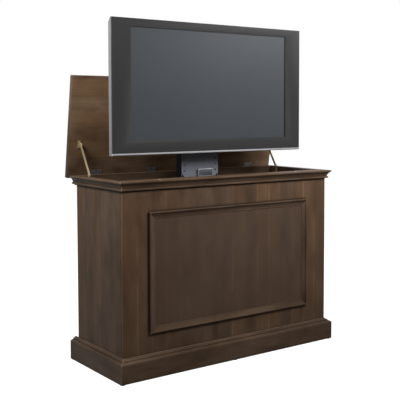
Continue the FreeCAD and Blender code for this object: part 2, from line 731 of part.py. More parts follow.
def spindle_base():
    start = COLUMN_BOTTOM + GEARBOX_HEIGHT - SPINDLE_ENTRY + SIDE_PLAY
    end = COLUMN_TOP - BEARING_THICKNESS
    return rod(SPINDLE_RADIUS, vec(-SPINDLE_X, SPINDLE_Y, start), vec(0, 0, 1), end - start)


def control_box():
    x1 = INNER_X - CONTROL_INSET
    y0 = BACK_INSIDE - CONTROL_DEPTH
    return block(x1 - CONTROL_WIDTH, x1, y0, BACK_INSIDE, FLOOR_TOP, FLOOR_TOP + CONTROL_HEIGHT)


# ---------------------------------------------------------------- middle stage of the lift
def stage_channel():
    half = STAGE_WIDTH / 2
    plate = outline(
        [
            vec(-half, PLATE_Y, STAGE_TOP),
            vec(-half, PLATE_Y, PLATE_BOTTOM + PLATE_CHAMFER),
            vec(-half + PLATE_CHAMFER, PLATE_Y, PLATE_BOTTOM),
            vec(half - PLATE_CHAMFER, PLATE_Y, PLATE_BOTTOM),
            vec(half, PLATE_Y, PLATE_BOTTOM + PLATE_CHAMFER),
            vec(half, PLATE_Y, STAGE_TOP),
        ]
    ).extrude(vec(0, STAGE_SHEET, 0))
    side_y = PLATE_Y + STAGE_SHEET
    side = block(-half, -half + STAGE_SHEET, side_y, STAGE_BACK, STAGE_BOTTOM, STAGE_TOP)
    channel = plate.fuse(side).fuse(mirrored(side)).removeSplitter()
    count = int((STAGE_TOP - PLATE_BOTTOM - 2 * HOLE_PITCH) / HOLE_PITCH) + 1
    for i in range(count):
        z = PLATE_BOTTOM + HOLE_PITCH * (i + 1)
        for x in (-half + HOLE_EDGE, half - HOLE_EDGE):
            channel = channel.cut(rod(HOLE_RADIUS, vec(x, PLATE_Y, z), vec(0, 1, 0), STAGE_SHEET))
    return channel


def stage_cap():
    half = STAGE_WIDTH / 2 - STAGE_SHEET
    z0 = STAGE_TOP - STAGE_CAP
    plate = block(-half, half, PLATE_Y + STAGE_SHEET, STAGE_BACK, z0, STAGE_TOP)
    tongue = bearing_tongue(SPINDLE_X, STAGE_BACK, BEARING_BACK, z0, STAGE_TOP)
    return plate.fuse(tongue).removeSplitter()


def stage_crossbar():
    half = STAGE_WIDTH / 2
    return block(-half, half, STAGE_BACK, STAGE_BACK + CROSSBAR, STAGE_BOTTOM, STAGE_BOTTOM + NUT_HEIGHT)


def stage_nut():
    y0 = STAGE_BACK + CROSSBAR
    x0 = -SPINDLE_X - NUT_WIDTH / 2
    nut = block(x0, x0 + NUT_WIDTH, y0, NUT_BACK, STAGE_BOTTOM, STAGE_BOTTOM + NUT_HEIGHT)
    start = vec(-SPINDLE_X, SPINDLE_Y, STAGE_BOTTOM)
    return nut.cut(rod(SPINDLE_RADIUS + RUNNING, start, vec(0, 0, 1), NUT_HEIGHT))


def stage_motor():
    y0 = STAGE_BACK + CROSSBAR
    y1 = y0 + 2 * (SPINDLE_Y - y0) + CROSSBAR
    z1 = STAGE_BOTTOM + STAGE_GEARBOX_HEIGHT
    body = gearbox(SPINDLE_X, STAGE_GEARBOX_WIDTH, y0, y1, STAGE_BOTTOM, z1)
    start = vec(SPINDLE_X, y0 + STAGE_MOTOR_RADIUS, STAGE_BOTTOM)
    can = rod(STAGE_MOTOR_RADIUS, start, vec(0, 0, -1), STAGE_MOTOR_LENGTH)
    return body.fuse(can)


def stage_pads():
    middle = (COLUMN_FRONT + COLUMN_BACK) / 2
    inner = COLUMN_WIDTH / 2 + SIDE_PLAY
    outer = STAGE_WIDTH / 2 - STAGE_SHEET
    y0 = middle - PAD_DEPTH / 2
    pad = block(-outer, -inner, y0, y0 + PAD_DEPTH, STAGE_BOTTOM, STAGE_BOTTOM + PAD_HEIGHT)
    return group([pad, mirrored(pad)])


def stage_switch_box():
    x0 = SWITCH_BOX_OFFSET - SWITCH_BOX_WIDTH / 2
    front = CARRIAGE_REAR + SWITCH_BOX_CLEARANCE
    top = PLATE_BOTTOM + SWITCH_BOX_HEIGHT
    box = block(x0, x0 + SWITCH_BOX_WIDTH, front, PLATE_Y, PLATE_BOTTOM, top)
    edges = [e for e in box.Edges if abs(e.tangentAt(e.FirstParameter).y) > 0.9]
    return box.makeFillet(SWITCH_BOX_ROUND, edges)


def spindle_stage():
    start = STAGE_BOTTOM + STAGE_GEARBOX_HEIGHT - SPINDLE_ENTRY + SIDE_PLAY
    return rod(SPINDLE_RADIUS, vec(SPINDLE_X, SPINDLE_Y, start), vec(0, 0, 1), STAGE_TOP - start)


# ---------------------------------------------------------------- carriage
def carriage_plate():
    half = CARRIAGE_WIDTH / 2
    top = GUIDE_BOTTOM + CARRIAGE_HEIGHT
    return block(-half, half, CARRIAGE_FRONT, CARRIAGE_REAR, GUIDE_BOTTOM, top)


def carriage_guide():
    # Wraps the edge of the stage channel from in front, outside and behind.
    edge = STAGE_WIDTH / 2
    top = GUIDE_BOTTOM + GUIDE_HEIGHT
    rear = STAGE_BACK + SIDE_PLAY + GUIDE_HOOK
    body = block(-edge - GUIDE_WALL, -edge + HOLE_EDGE, CARRIAGE_REAR, rear, GUIDE_BOTTOM, top)
    way = block(
        -edge - SIDE_PLAY,
        -edge + HOLE_EDGE,
        PLATE_Y - SIDE_PLAY,
        STAGE_BACK + SIDE_PLAY,
        GUIDE_BOTTOM,
        top,
    )
    return body.cut(way)


def carriage_nut():
    y0 = STAGE_BACK + SIDE_PLAY + GUIDE_HOOK
    edge = STAGE_WIDTH / 2 + GUIDE_WALL
    top = NUT_ARM_Z + NUT_HEIGHT
    x0 = SPINDLE_X - NUT_WIDTH / 2
    arm = block(SPINDLE_X, edge, y0, y0 + CROSSBAR, NUT_ARM_Z, top)
    body = block(x0, x0 + NUT_WIDTH, y0, NUT_BACK, NUT_ARM_Z, top)
    bore = rod(SPINDLE_RADIUS + RUNNING, vec(SPINDLE_X, SPINDLE_Y, NUT_ARM_Z), vec(0, 0, 1), NUT_HEIGHT)
    return arm.fuse(body).cut(bore).removeSplitter()


def tv_rails():
    x0 = -RAIL_SPACING / 2 - RAIL_WIDTH / 2
    z0 = GUIDE_BOTTOM + CARRIAGE_HEIGHT / 2 - RAIL_LENGTH / 2
    back = TV_FRONT_Y + TV_DEPTH
    rail = block(x0, x0 + RAIL_WIDTH, back, CARRIAGE_FRONT, z0, z0 + RAIL_LENGTH)
    return group([rail, mirrored(rail)])


# ---------------------------------------------------------------- television
def tv_box(half, y0, y1, z0, z1):
    return block(-half, half, TV_FRONT_Y + y0, TV_FRONT_Y + y1, TV_BOTTOM + z0, TV_BOTTOM + z1)


def tv_bezel():
    half = SCREEN_WIDTH / 2
    top = BEZEL_BOTTOM + SCREEN_HEIGHT
    ring = tv_box(TV_WIDTH / 2, 0, BEZEL_DEPTH, TRIM_HEIGHT, TV_HEIGHT)
    ring = ring.cut(tv_box(half, 0, BEZEL_LIP, BEZEL_BOTTOM, top))
    lap = SCREEN_LAP
    return ring.cut(tv_box(half + lap, BEZEL_LIP, BEZEL_DEPTH, BEZEL_BOTTOM - lap, top + lap))


def tv_screen():
    lap = SCREEN_LAP - SIDE_PLAY
    top = BEZEL_BOTTOM + SCREEN_HEIGHT
    rear = BEZEL_LIP + SCREEN_THICKNESS
    return tv_box(SCREEN_WIDTH / 2 + lap, BEZEL_LIP, rear, BEZEL_BOTTOM - lap, top + lap)


def tv_trim():
    return tv_box(TV_WIDTH / 2, -TRIM_PROUD, BEZEL_DEPTH, 0, TRIM_HEIGHT)


def cover_solid(inset):
    # Side edge band, then a tapered back.
    half = TV_WIDTH / 2 - inset
    low = inset
    high = TV_HEIGHT - inset
    start = BEZEL_DEPTH if inset == 0 else 0
    band = outline(
        [
            vec(-half, TV_FRONT_Y + start, TV_BOTTOM + low),
            vec(-half, TV_FRONT_Y + start, TV_BOTTOM + high),
            vec(-half, TV_FRONT_Y + BEZEL_DEPTH + EDGE_TOP, TV_BOTTOM + high),
            vec(-half, TV_FRONT_Y + EDGE_DEPTH, TV_BOTTOM + high - EDGE_DROP),
            vec(-half, TV_FRONT_Y + EDGE_DEPTH, TV_BOTTOM + low),
        ]
    ).extrude(vec(2 * half, 0, 0))
    wide = half - COVER_MARGIN
    near = TV_FRONT_Y + EDGE_DEPTH - inset
    far = TV_FRONT_Y + TV_DEPTH - inset
    back = TV_WIDTH / 2 - COVER_SIDE_SLOPE - inset
    foot = TV_BOTTOM + COVER_BOTTOM_SLOPE + inset
    head = TV_BOTTOM + TV_HEIGHT - COVER_TOP_SLOPE - inset
    rims = []
    for x, y, z0, z1 in (
        (wide, near, TV_BOTTOM + COVER_MARGIN + inset, TV_BOTTOM + TV_HEIGHT - EDGE_DROP - inset),
        (back, far, foot, head),
    ):
        corners = [vec(-x, y, z0), vec(x, y, z0), vec(x, y, z1), vec(-x, y, z1)]
        rims.append(Part.makePolygon(corners + corners[:1]))
    return band.fuse(Part.makeLoft(rims, True, True)).removeSplitter()


def tv_cover():
    return cover_solid(0).cut(cover_solid(COVER_WALL))


# ---------------------------------------------------------------- export
def sub_parts():
    hinges = hinge_places()
    left_cap = left_stick(cap_profile(), PLINTH_THICKNESS)
    left_crown = left_stick(crown_profile(), CROWN_PROJECTION)
    nodes = {
        "plinth_front": front_stick(plinth_profile()),
        "plinth_back": plinth_back(),
        "plinth_left": plinth_side(),
        "plinth_right": mirrored(plinth_side()),
        "floor_glides": floor_glides(),
        "base_cap_front": front_stick(cap_profile()),
        "base_cap_left": left_cap,
        "base_cap_right": mirrored(left_cap),
        "front_panel": front_panel(),
        "side_panel_left": side_panel(),
        "side_panel_right": mirrored(side_panel()),
        "bottom_panel": bottom_panel(),
        "back_boards": back_boards(),
        "back_access_panel": access_panel(),
        "cabinet_screws": group(access_screws() + [s for x in hinges for s in lower_leaf_screws(x)]),
        "cable_grommet": cable_grommet(),
        "crown_front": front_stick(crown_profile()),
        "crown_left": left_crown,
        "crown_right": mirrored(left_crown),
        "rim_rail_front": rim_rail_front(),
        "rim_rail_back": rim_rail_back(),
        "corner_cleats": corner_cleats(),
        "lid_bumpers": lid_bumpers(),
        "lid_panel": lid_panel(),
        "hinge_lower_leaves": group([lower_leaf(x) for x in hinges]),
        "hinge_upper_leaves": group([upper_leaf(x) for x in hinges]),
        "hinge_pins": group([hinge_pin(x) for x in hinges]),
        "lid_screws": group([opened(s) for x in hinges for s in upper_leaf_heads(x)]),
        "stay_lid_brackets": group([stay_lid_bracket(), mirrored(stay_lid_bracket())]),
        "stay_side_brackets": group([stay_side_bracket(), mirrored(stay_side_bracket())]),
        "stay_upper_bar_left": stay_upper_bar(),
        "stay_upper_bar_right": mirrored(stay_upper_bar()),
        "stay_lower_bar_left": stay_lower_bar(),
        "stay_lower_bar_right": mirrored(stay_lower_bar()),
        "lift_base_plate": lift_base_plate(),
        "lift_base_bolts": lift_base_bolts(),
        "lift_column": group([column_tube(), column_bearing()]),
        "lift_column_pads": column_pads(),
        "lift_base_motor": lift_base_motor(),
        "spindle_base": spindle_base(),
        "control_box": control_box(),
        "stage_channel": stage_channel(),
        "stage_brackets": group([stage_cap(), stage_crossbar()]),
        "stage_nut": stage_nut(),
        "stage_motor": stage_motor(),
        "stage_pads": stage_pads(),
        "stage_switch_box": stage_switch_box(),
        "spindle_stage": spindle_stage(),
        "carriage_plate": carriage_plate(),
        "carriage_guides": group([carriage_guide(), mirrored(carriage_guide())]),
        "carriage_nut": carriage_nut(),
        "tv_rails": tv_rails(),
        "tv_bezel": tv_bezel(),
        "tv_screen": tv_screen(),
        "tv_trim": tv_trim(),
        "tv_cover": tv_cover(),
    }
    for side in ("top", "bottom", "left", "right"):
        nodes["front_moulding_" + side] = front_moulding(side)
    return nodes


os.makedirs("parts", exist_ok=True)
for node, shape in sub_parts().items():
    shape.exportStep("parts/" + node + ".step")
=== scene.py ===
# %% [markdown]
# # A television lift cabinet
# The solids come from the CAD model: a dark stained cabinet with a hinged lid, a two-stage
# motor lift in its well, and a flat television raised out of it. They are exact but plain, with
# knife edges and no finish. This file gives each piece the edges, small parts and finishes that
# the real one has, and sets up a plain studio to look at it.

# %% Load the solids
import bpy
import bmesh
import json
import math
from mathutils import Matrix, Vector

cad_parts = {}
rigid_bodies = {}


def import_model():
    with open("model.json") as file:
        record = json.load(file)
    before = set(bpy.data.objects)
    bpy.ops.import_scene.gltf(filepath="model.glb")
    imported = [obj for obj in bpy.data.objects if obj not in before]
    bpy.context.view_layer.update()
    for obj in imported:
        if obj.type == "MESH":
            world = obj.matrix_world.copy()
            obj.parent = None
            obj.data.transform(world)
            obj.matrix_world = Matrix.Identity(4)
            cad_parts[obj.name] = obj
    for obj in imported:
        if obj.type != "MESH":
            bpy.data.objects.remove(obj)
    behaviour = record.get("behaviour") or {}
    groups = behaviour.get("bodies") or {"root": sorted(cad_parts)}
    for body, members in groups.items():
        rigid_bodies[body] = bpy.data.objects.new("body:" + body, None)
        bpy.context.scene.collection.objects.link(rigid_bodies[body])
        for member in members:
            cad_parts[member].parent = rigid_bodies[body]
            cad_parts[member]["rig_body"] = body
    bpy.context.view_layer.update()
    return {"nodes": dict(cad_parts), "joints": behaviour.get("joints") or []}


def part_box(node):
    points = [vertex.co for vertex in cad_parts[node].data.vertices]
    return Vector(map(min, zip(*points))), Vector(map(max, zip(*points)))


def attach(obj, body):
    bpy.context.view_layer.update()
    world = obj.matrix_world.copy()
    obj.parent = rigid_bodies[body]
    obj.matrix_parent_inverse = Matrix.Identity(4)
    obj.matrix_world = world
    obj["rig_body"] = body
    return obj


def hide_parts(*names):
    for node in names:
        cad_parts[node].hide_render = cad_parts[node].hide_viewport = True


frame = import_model()
nodes = frame["nodes"]
MM = 0.001

# %% [markdown]
# ## Camera
# A long lens a few metres away keeps the uprights nearly parallel, as product pictures do. The
# object stands off the middle of the view, so the lens is shifted instead of the camera being
# turned.

# %% Camera
FILM_WIDTH_MM = 36.0
FARTHEST = 60.0
CASE_MIDDLE = Vector((0, 0, 0.8))


def placed(name, data):
    made = bpy.data.objects.new(name, data)
    bpy.context.scene.collection.objects.link(made)
    return made


def aim(piece, place, target):
    # Cameras and lamps both look along their own -Z.
    direction = Vector(target) - Vector(place)
    piece.location = place
    piece.rotation_euler = direction.to_track_quat("-Z", "Y").to_euler()


def look_from(place, target, lens_mm, shift):
    eye = placed("camera", bpy.data.cameras.new("camera"))
    aim(eye, place, target)
    eye.data.sensor_width = FILM_WIDTH_MM
    eye.data.lens = lens_mm
    eye.data.shift_x, eye.data.shift_y = shift
    eye.data.clip_end = FARTHEST
    bpy.context.scene.camera = eye
    return eye


camera = look_from(
    place=(-2.3324, -3.3439, 1.1981),
    target=(0.2112, 0.0, 0.9538),
    lens_mm=73.676,
    shift=(-0.1, -0.1044),
)
print("camera to the middle of the case:", round((camera.location - CASE_MIDDLE).length, 2), "m")

# %% [markdown]
# ## Colours and nodes
# Colours are picked as sRGB hex values, and the renderer works in linear light, so one function
# converts them. A second small function adds any node with its settings and its links, which
# keeps each material short enough to read. It serves shader trees and geometry trees alike.

# %% Helpers for node trees
finishes = []


def linear(code):
    parts = [int(code[i : i + 2], 16) / 255 for i in (1, 3, 5)]
    levels = [c / 12.92 if c <= 0.04045 else ((c + 0.055) / 1.055) ** 2.4 for c in parts]
    return (*levels, 1.0)


def put(tree, kind, inputs=None, **settings):
    made = tree.nodes.new(kind)
    for name, value in settings.items():
        setattr(made, name, value)
    for socket, value in (inputs or {}).items():
        if isinstance(value, bpy.types.NodeSocket):
            tree.links.new(value, made.inputs[socket])
        else:
            made.inputs[socket].default_value = value
    return made


def maths(tree, operation, *values):
    return put(tree, "ShaderNodeMath", dict(enumerate(values)), operation=operation).outputs[0]


def new_finish(name):
    finish = bpy.data.materials.new(name)
    finish.use_nodes = True
    finish.node_tree.nodes.clear()
    finishes.append(name)
    return finish, finish.node_tree


def close(tree, shader):
    put(tree, "ShaderNodeOutputMaterial", {"Surface": shader.outputs[0]})


def principled(tree, tone, rough, level, others):
    # The others are the inputs that only some finishes need, by the names of their sockets.
    inputs = {"Base Color": tone, "Roughness": rough, "Specular IOR Level": level, **others}
    close(tree, put(tree, "ShaderNodeBsdfPrincipled", inputs))


def stretched(tree, across_mm, along_mm, grain):
    # Object coordinates divided by a feature's real size, longer along the grain.
    size = [across_mm * MM] * 3
    size["XYZ".index(grain)] = along_mm * MM
    place = put(tree, "ShaderNodeTexCoord")
    inputs = {"Vector": place.outputs["Object"], "Scale": tuple(1 / s for s in size)}
    return put(tree, "ShaderNodeMapping", inputs).outputs[0]


def noise(tree, across_mm, along_mm, grain, detail):
    where = stretched(tree, across_mm, along_mm, grain)
    inputs = {"Vector": where, "Scale": 1.0, "Detail": detail}
    return put(tree, "ShaderNodeTexNoise", inputs).outputs[0]


def between(tree, value, low, high, to_low, to_high):
    # Maps low..high onto to_low..to_high, and holds the value at those ends.
    limits = {"From Min": low, "From Max": high, "To Min": to_low, "To Max": to_high}
    return put(tree, "ShaderNodeMapRange", {"Value": value, **limits}).outputs[0]


def blend_colours(tree, share, first, second):
    mix = put(tree, "ShaderNodeMix", {"Factor": share}, data_type="RGBA")
    for socket, value in (("A", first), ("B", second)):
        target = [s for s in mix.inputs if s.name == socket and s.type == "RGBA"][0]
        if isinstance(value, bpy.types.NodeSocket):
            tree.links.new(value, target)
        else:
            target.default_value = value
    return [s for s in mix.outputs if s.type == "RGBA"][0]


def bumped(tree, height, strength, distance):
    inputs = {"Height": height, "Strength": strength, "Distance": distance}
    return put(tree, "ShaderNodeBump", inputs).outputs[0]


# %% [markdown]
# ## Stained wood
# The cabinet is veneered board under an espresso stain and a satin lacquer. The veneer is laid
# in leaves about 75 mm wide, each a little redder or greyer than its neighbour. The figure is
# smoky: soft clouds a hand wide, faint streaks along the grain, and pores about 1 mm wide. They
# are drawn 2 mm wide, because finer ones vanish at this size, and carry a dark tone. Painted
# shade darkens the corners and creases. The arrises of mouldings are painted lighter, as rubbed
# wear and a painted highlight, and the mitred corners of the case show a dark joint.
# Ambient occlusion finds both places: outward it finds corners, and inward it finds arrises.

# %% Stained veneer
LEAF_WIDTH = 75 * MM
LEAF_WAVER = 0.1  # how far the clouds bend a joint, in leaf widths
LEAF_LINE_SHARE = 0.12  # the width of a joint's warm line, in leaf widths
LEAF_LINE = linear("#85623f")
# A dark tone for the pores, and the painted shade that darkens corners and creases.
PORE_STAIN_AND_PAINTED_SHADE = linear("#150f0b")
PAINTED_SHADE_REACH = 15 * MM
OCCLUSION_SAMPLES = 8
STREAK_MM = (8, 480)
PORE_MM = (2.0, 22)
PORE_DEPTH = 0.4 * MM
LACQUER_LEVEL = 0.025
# Arris tones: the lighter two are rubbed wear and a painted highlight, the last a dark joint.
RUB_AND_PAINTED_HIGHLIGHT = "#6d5947"
WEAR_AND_PAINTED_HIGHLIGHT = "#8a7665"
JOINT = "#261b14"


def leaf_tone(tree, tone, across, cloud, red):
    # Each leaf leans towards the red by its own share. Its joint shows in places, as a thin
    # warm line.
    place = put(tree, "ShaderNodeTexCoord")
    split = put(tree, "ShaderNodeSeparateXYZ", {"Vector": place.outputs["Object"]})
    strip = maths(tree, "MULTIPLY", split.outputs[across], 1 / LEAF_WIDTH)
    wave = maths(tree, "MULTIPLY_ADD", cloud, LEAF_WAVER, strip)
    leaf = maths(tree, "FLOOR", wave)
    pick = put(tree, "ShaderNodeTexWhiteNoise", {"W": leaf}, noise_dimensions="1D").outputs[0]
    tone = blend_colours(tree, between(tree, pick, 0.2, 1.0, 0.0, 0.34), tone, linear(red))
    inside = maths(tree, "FRACT", wave)
    line = between(tree, inside, 0.0, LEAF_LINE_SHARE, 1.0, 0.0)
    share = maths(tree, "MULTIPLY", line, pick)
    patches = between(tree, cloud, 0.4, 0.62, 0.0, 0.5)
    return blend_colours(tree, maths(tree, "MULTIPLY", share, patches), tone, LEAF_LINE)


def occlusion(tree, reach, **settings):
    inputs = {"Distance": reach}
    settings = {"samples": OCCLUSION_SAMPLES, **settings}
    return put(tree, "ShaderNodeAmbientOcclusion", inputs, **settings).outputs["AO"]


def painted_shade_and_arris(tree, tone, arris_tone, arris_mm):
    # Painted shade darkens a corner, and the arris takes a tone of its own: lighter as rubbed
    # wear and a painted highlight, darker as a joint.
    painted_shade_share = between(tree, occlusion(tree, PAINTED_SHADE_REACH), 0.45, 0.95, 0.95, 0.0)
    tone = blend_colours(tree, painted_shade_share, tone, PORE_STAIN_AND_PAINTED_SHADE)
    arris = occlusion(tree, arris_mm * MM, inside=True, only_local=True)
    arris_share = between(tree, arris, 0.3, 0.8, 0.55, 0.0)
    return blend_colours(tree, arris_share, tone, linear(arris_tone))


def stained_wood(
    name, grain, leaves, dark, light, red, arris_tone=RUB_AND_PAINTED_HIGHLIGHT, arris_mm=3, shine=0.4, cloud_mm=(70, 190)
):
    # The grain is the axis along it. Leaves is the axis across them, or None for solid wood.
    finish, tree = new_finish(name)
    streak = noise(tree, *STREAK_MM, grain, 4.0)
    cloud = noise(tree, *cloud_mm, grain, 3.0)
    pore = noise(tree, *PORE_MM, grain, 2.0)
    light_share = between(tree, cloud, 0.25, 0.78, 0.0, 1.0)
    tone = blend_colours(tree, light_share, linear(dark), linear(light))
    tone = blend_colours(tree, between(tree, streak, 0.3, 0.75, 0.0, 0.28), tone, linear(dark))
    if leaves:
        tone = leaf_tone(tree, tone, leaves, cloud, red)
    tone = blend_colours(tree, between(tree, pore, 0.6, 0.78, 0.0, 0.35), tone, PORE_STAIN_AND_PAINTED_SHADE)
    tone = painted_shade_and_arris(tree, tone, arris_tone, arris_mm)
    bump = bumped(tree, pore, 0.1, PORE_DEPTH)
    rough = between(tree, streak, 0.3, 0.7, shine - 0.05, shine + 0.06)
    principled(tree, tone, rough, LACQUER_LEVEL, {"IOR": 1.5, "Normal": bump})
    return finish


espresso = dict(dark="#382b21", light="#554538", red="#5c422e")
field = dict(dark="#34281f", light="#524236", red="#533b29")
warm = dict(dark="#4c392b", light="#7b6651", red="#785b3b")
banding = dict(dark="#3a3029", light="#5a4e45", red="#4a3c32")
matt = dict(dark="#483b31", light="#584a3f", red="#5f4a39")
mitred = dict(arris_tone=JOINT, arris_mm=7)
wood_front = stained_wood("espresso_veneer_front", "Z", "X", **espresso, **mitred)
wood_side = stained_wood("espresso_veneer_side", "Z", "Y", **espresso, **mitred)
wood_field = stained_wood("espresso_veneer_field", "Z", "X", **field, arris_tone="#463930")
wood_along = stained_wood("espresso_solid_along", "X", None, **espresso, arris_tone=WEAR_AND_PAINTED_HIGHLIGHT)
wood_deep = stained_wood("espresso_solid_deep", "Y", None, **espresso, arris_tone=WEAR_AND_PAINTED_HIGHLIGHT)
wood_stile = stained_wood("espresso_solid_upright", "Z", None, **espresso, arris_tone=WEAR_AND_PAINTED_HIGHLIGHT)
wood_lid = stained_wood("warm_veneer_lid", "X", "Z", **warm, shine=0.34, cloud_mm=(70, 170))
wood_top = stained_wood("espresso_veneer_lid_top", "X", "Z", **espresso, cloud_mm=(110, 260))
wood_edge = stained_wood("lid_edge_banding", "Z", None, **banding, shine=0.75)
board = stained_wood("stained_board_matt", "Z", None, **matt, shine=0.6, cloud_mm=(140, 320))
print("finishes, all of them wood:", len(finishes))

# %% [markdown]
# ## Plastics, paint and metal
# Moulded ABS has a faint even grain about 1 mm wide. Powder coat is a fine orange peel. Rolled
# and ground metal is drawn out in one direction, so its roughness runs in streaks. Each recipe
# below takes the colour, the roughness, the grain size in millimetres and how deep the grain is.

# %% Moulded, coated and metal finishes
SHADE_MM = 140  # the size of the soft patches that keep a surface from one flat tone
SHADE_DEPTH = 0.78


def grained(
    name, colour, roughness, grain_mm, depth, spread=0.06, metal=0.0, level=0.5, drawn=None
):
    # A drawn metal gives the axis of its streaks and their length in millimetres.
    finish, tree = new_finish(name)
    axis, along = drawn or ("X", grain_mm)
    grain = noise(tree, grain_mm, along, axis, 3.0)
    soft = noise(tree, SHADE_MM, SHADE_MM, "X", 2.0)
    darker = (*(c * SHADE_DEPTH for c in linear(colour)[:3]), 1.0)
    tone = blend_colours(tree, between(tree, soft, 0.3, 0.7, 0.0, 0.35), linear(colour), darker)
    rough = between(tree, grain, 0.25, 0.75, roughness - spread, roughness + spread)
    bump = bumped(tree, grain, depth, grain_mm * MM / 4)
    principled(tree, tone, rough, level, {"Metallic": metal, "Normal": bump})
    return finish


powder_coat = grained("charcoal_powder_coat", "#585a60", 0.5, 1.2, 0.12, level=0.3)
# Black paint. Behind the holes of the plate and on the returns of the channel it is painted shade.
black_paint_and_painted_shade = grained("black_edge_paint", "#0e0e10", 0.45, 1.2, 0.08, level=0.25)
box_enamel = grained("slate_box_enamel", "#393b41", 0.27, 1.2, 0.05, level=0.7)
# A painted highlight for the rounded edges of the switch box.
box_painted_highlight = grained("rubbed_box_enamel", "#7d818a", 0.3, 1.2, 0.05, level=0.6)
dark_zinc = grained("blackened_screw_steel", "#2e2d2c", 0.4, 0.5, 0.05, metal=0.6)
gloss_black = grained("gloss_black_abs", "#151515", 0.3, 2.0, 0.02, spread=0.03, level=0.3)
silver_abs = grained("silver_painted_abs", "#7e7e81", 0.42, 1.0, 0.03, metal=0.25)
grey_abs = grained("silver_grey_moulded_abs", "#605f61", 0.46, 1.4, 0.1, metal=0.1, level=0.3)
black_abs = grained("black_moulded_abs", "#1c1c1e", 0.5, 1.2, 0.15, level=0.3)
acetal = grained("black_acetal", "#222226", 0.4, 2.0, 0.05)
nickel = grained("satin_nickel_steel", "#7d7c79", 0.38, 0.6, 0.05, metal=0.7, drawn=("X", 14))
ground_steel = grained("ground_steel", "#a8a8aa", 0.28, 0.5, 0.05, metal=1.0, drawn=("Z", 10))
brass = grained("pale_brass_plate", "#b8a985", 0.36, 1.0, 0.05, metal=0.75)
motor_enamel = grained("grey_motor_enamel", "#5c5e62", 0.4, 1.6, 0.08)
clear_rubber = grained("translucent_bumper", "#77736b", 0.25, 2.0, 0.02)
print("finishes so far:", len(finishes))

# %% [markdown]
# ## Screen glass
# The panel of a switched-off plasma set is a blue grey with an even anti-glare coat. It is a
# dark base under a slightly rough surface, so it picks up the studio softly, never as a mirror.

# %% Screen glass
CLOUD_MM = 320
COAT_MM = 1.0
GLASS_LEVEL = 0.36


def screen_finish():
    finish, tree = new_finish("antiglare_panel_glass")
    soft = noise(tree, CLOUD_MM, CLOUD_MM, "X", 1.0)
    grain = noise(tree, COAT_MM, COAT_MM, "X", 2.0)
    tone = blend_colours(tree, soft, linear("#1f2327"), linear("#24282d"))
    rough = between(tree, grain, 0.25, 0.75, 0.29, 0.35)
    principled(tree, tone, rough, GLASS_LEVEL, {"IOR": 1.5})
    return finish


panel_glass = screen_finish()
print("finishes with the glass:", len(finishes))

# %% [markdown]
# ## Which finish goes where
# Every solid keeps its place and gets the finish of its real piece. The list is in the order a
# maker would build: carcass, mouldings, lid, lift and television.

# %% Give every solid its finish
by_finish = [
    (wood_front, "front_panel"),
    (wood_side, "side_panel_left side_panel_right"),
    (wood_along, "plinth_front plinth_back base_cap_front crown_front"),
    (wood_along, "rim_rail_front rim_rail_back front_moulding_top front_moulding_bottom"),
    (wood_deep, "plinth_left plinth_right base_cap_left base_cap_right crown_left crown_right"),
    (wood_stile, "front_moulding_left front_moulding_right corner_cleats"),
    (board, "bottom_panel back_boards back_access_panel"),
    (wood_lid, "lid_panel"),
    (black_abs, "floor_glides cable_grommet control_box"),
    (dark_zinc, "lid_screws"),
    (nickel, "cabinet_screws hinge_lower_leaves hinge_upper_leaves hinge_pins lift_base_bolts"),
    (clear_rubber, "lid_bumpers"),
    (brass, "stay_lid_brackets stay_side_brackets stay_upper_bar_left stay_upper_bar_right"),
    (brass, "stay_lower_bar_left stay_lower_bar_right"),
    (powder_coat, "lift_base_plate stage_channel"),
    (box_enamel, "stage_switch_box"),
    (black_paint_and_painted_shade, "lift_column stage_brackets tv_rails"),
    (powder_coat, "carriage_plate carriage_nut"),
    (acetal, "lift_column_pads stage_nut stage_pads carriage_guides"),
    (motor_enamel, "lift_base_motor stage_motor"),
    (ground_steel, "spindle_base spindle_stage"),
    (gloss_black, "tv_bezel"),
    (panel_glass, "tv_screen"),
    (silver_abs, "tv_trim"),
    (grey_abs, "tv_cover"),
]
finish_of = {name: finish for finish, names in by_finish for name in names.split()}
for name, solid in nodes.items():
    solid.data.materials.clear()
    solid.data.materials.append(finish_of[name])
print("solids with a finish:", len(finish_of), "of", len(nodes))

# %% [markdown]
# ## Edges that catch the light
# No real edge is a knife edge. Wood is sanded to about 1.5 mm, moulded plastic leaves its tool
# with 1 to 2 mm, and cut steel is only deburred. A Bevel modifier could do this, but CAD meshes
# are loose triangles, so a copy is merged first and its flat triangles are joined into whole
# faces. Then only true corners, sharper than 25 degrees, are bevelled, and the cut goes inwards,
# so the piece keeps its size.

# %% Softened copies of the solids
SHARP = math.radians(25)
SMOOTH_UNDER = math.radians(20)
FLAT_WITHIN = math.radians(1)
MERGE_WITHIN = 0.005 * MM


def stand_in(name, mesh, body, *replaced):
    # Puts a finished mesh into the scene in place of the solids that it stands for.
    piece = placed(name, mesh)
    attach(piece, body)
    if replaced:
        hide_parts(*replaced)
    return piece


def merged(node):
    shape = bmesh.new()
    shape.from_mesh(nodes[node].data)
    bmesh.ops.remove_doubles(shape, verts=shape.verts, dist=MERGE_WITHIN)
    bmesh.ops.dissolve_limit(
        shape, angle_limit=FLAT_WITHIN, verts=shape.verts, edges=shape.edges, delimit={"NORMAL"}
    )
    return shape


def bevelled(shape, edges, radius_mm, segments):
    bmesh.ops.bevel(
        shape,
        geom=edges,
        offset=radius_mm * MM,
        segments=segments,
        profile=0.5,
        affect="EDGES",
        clamp_overlap=True,
    )


def finished_mesh(shape, name, finish):
    mesh = bpy.data.meshes.new(name)
    shape.to_mesh(mesh)
    shape.free()
    mesh.materials.append(finish)
    mesh.shade_smooth()
    mesh.set_sharp_from_angle(angle=SMOOTH_UNDER)
    return mesh


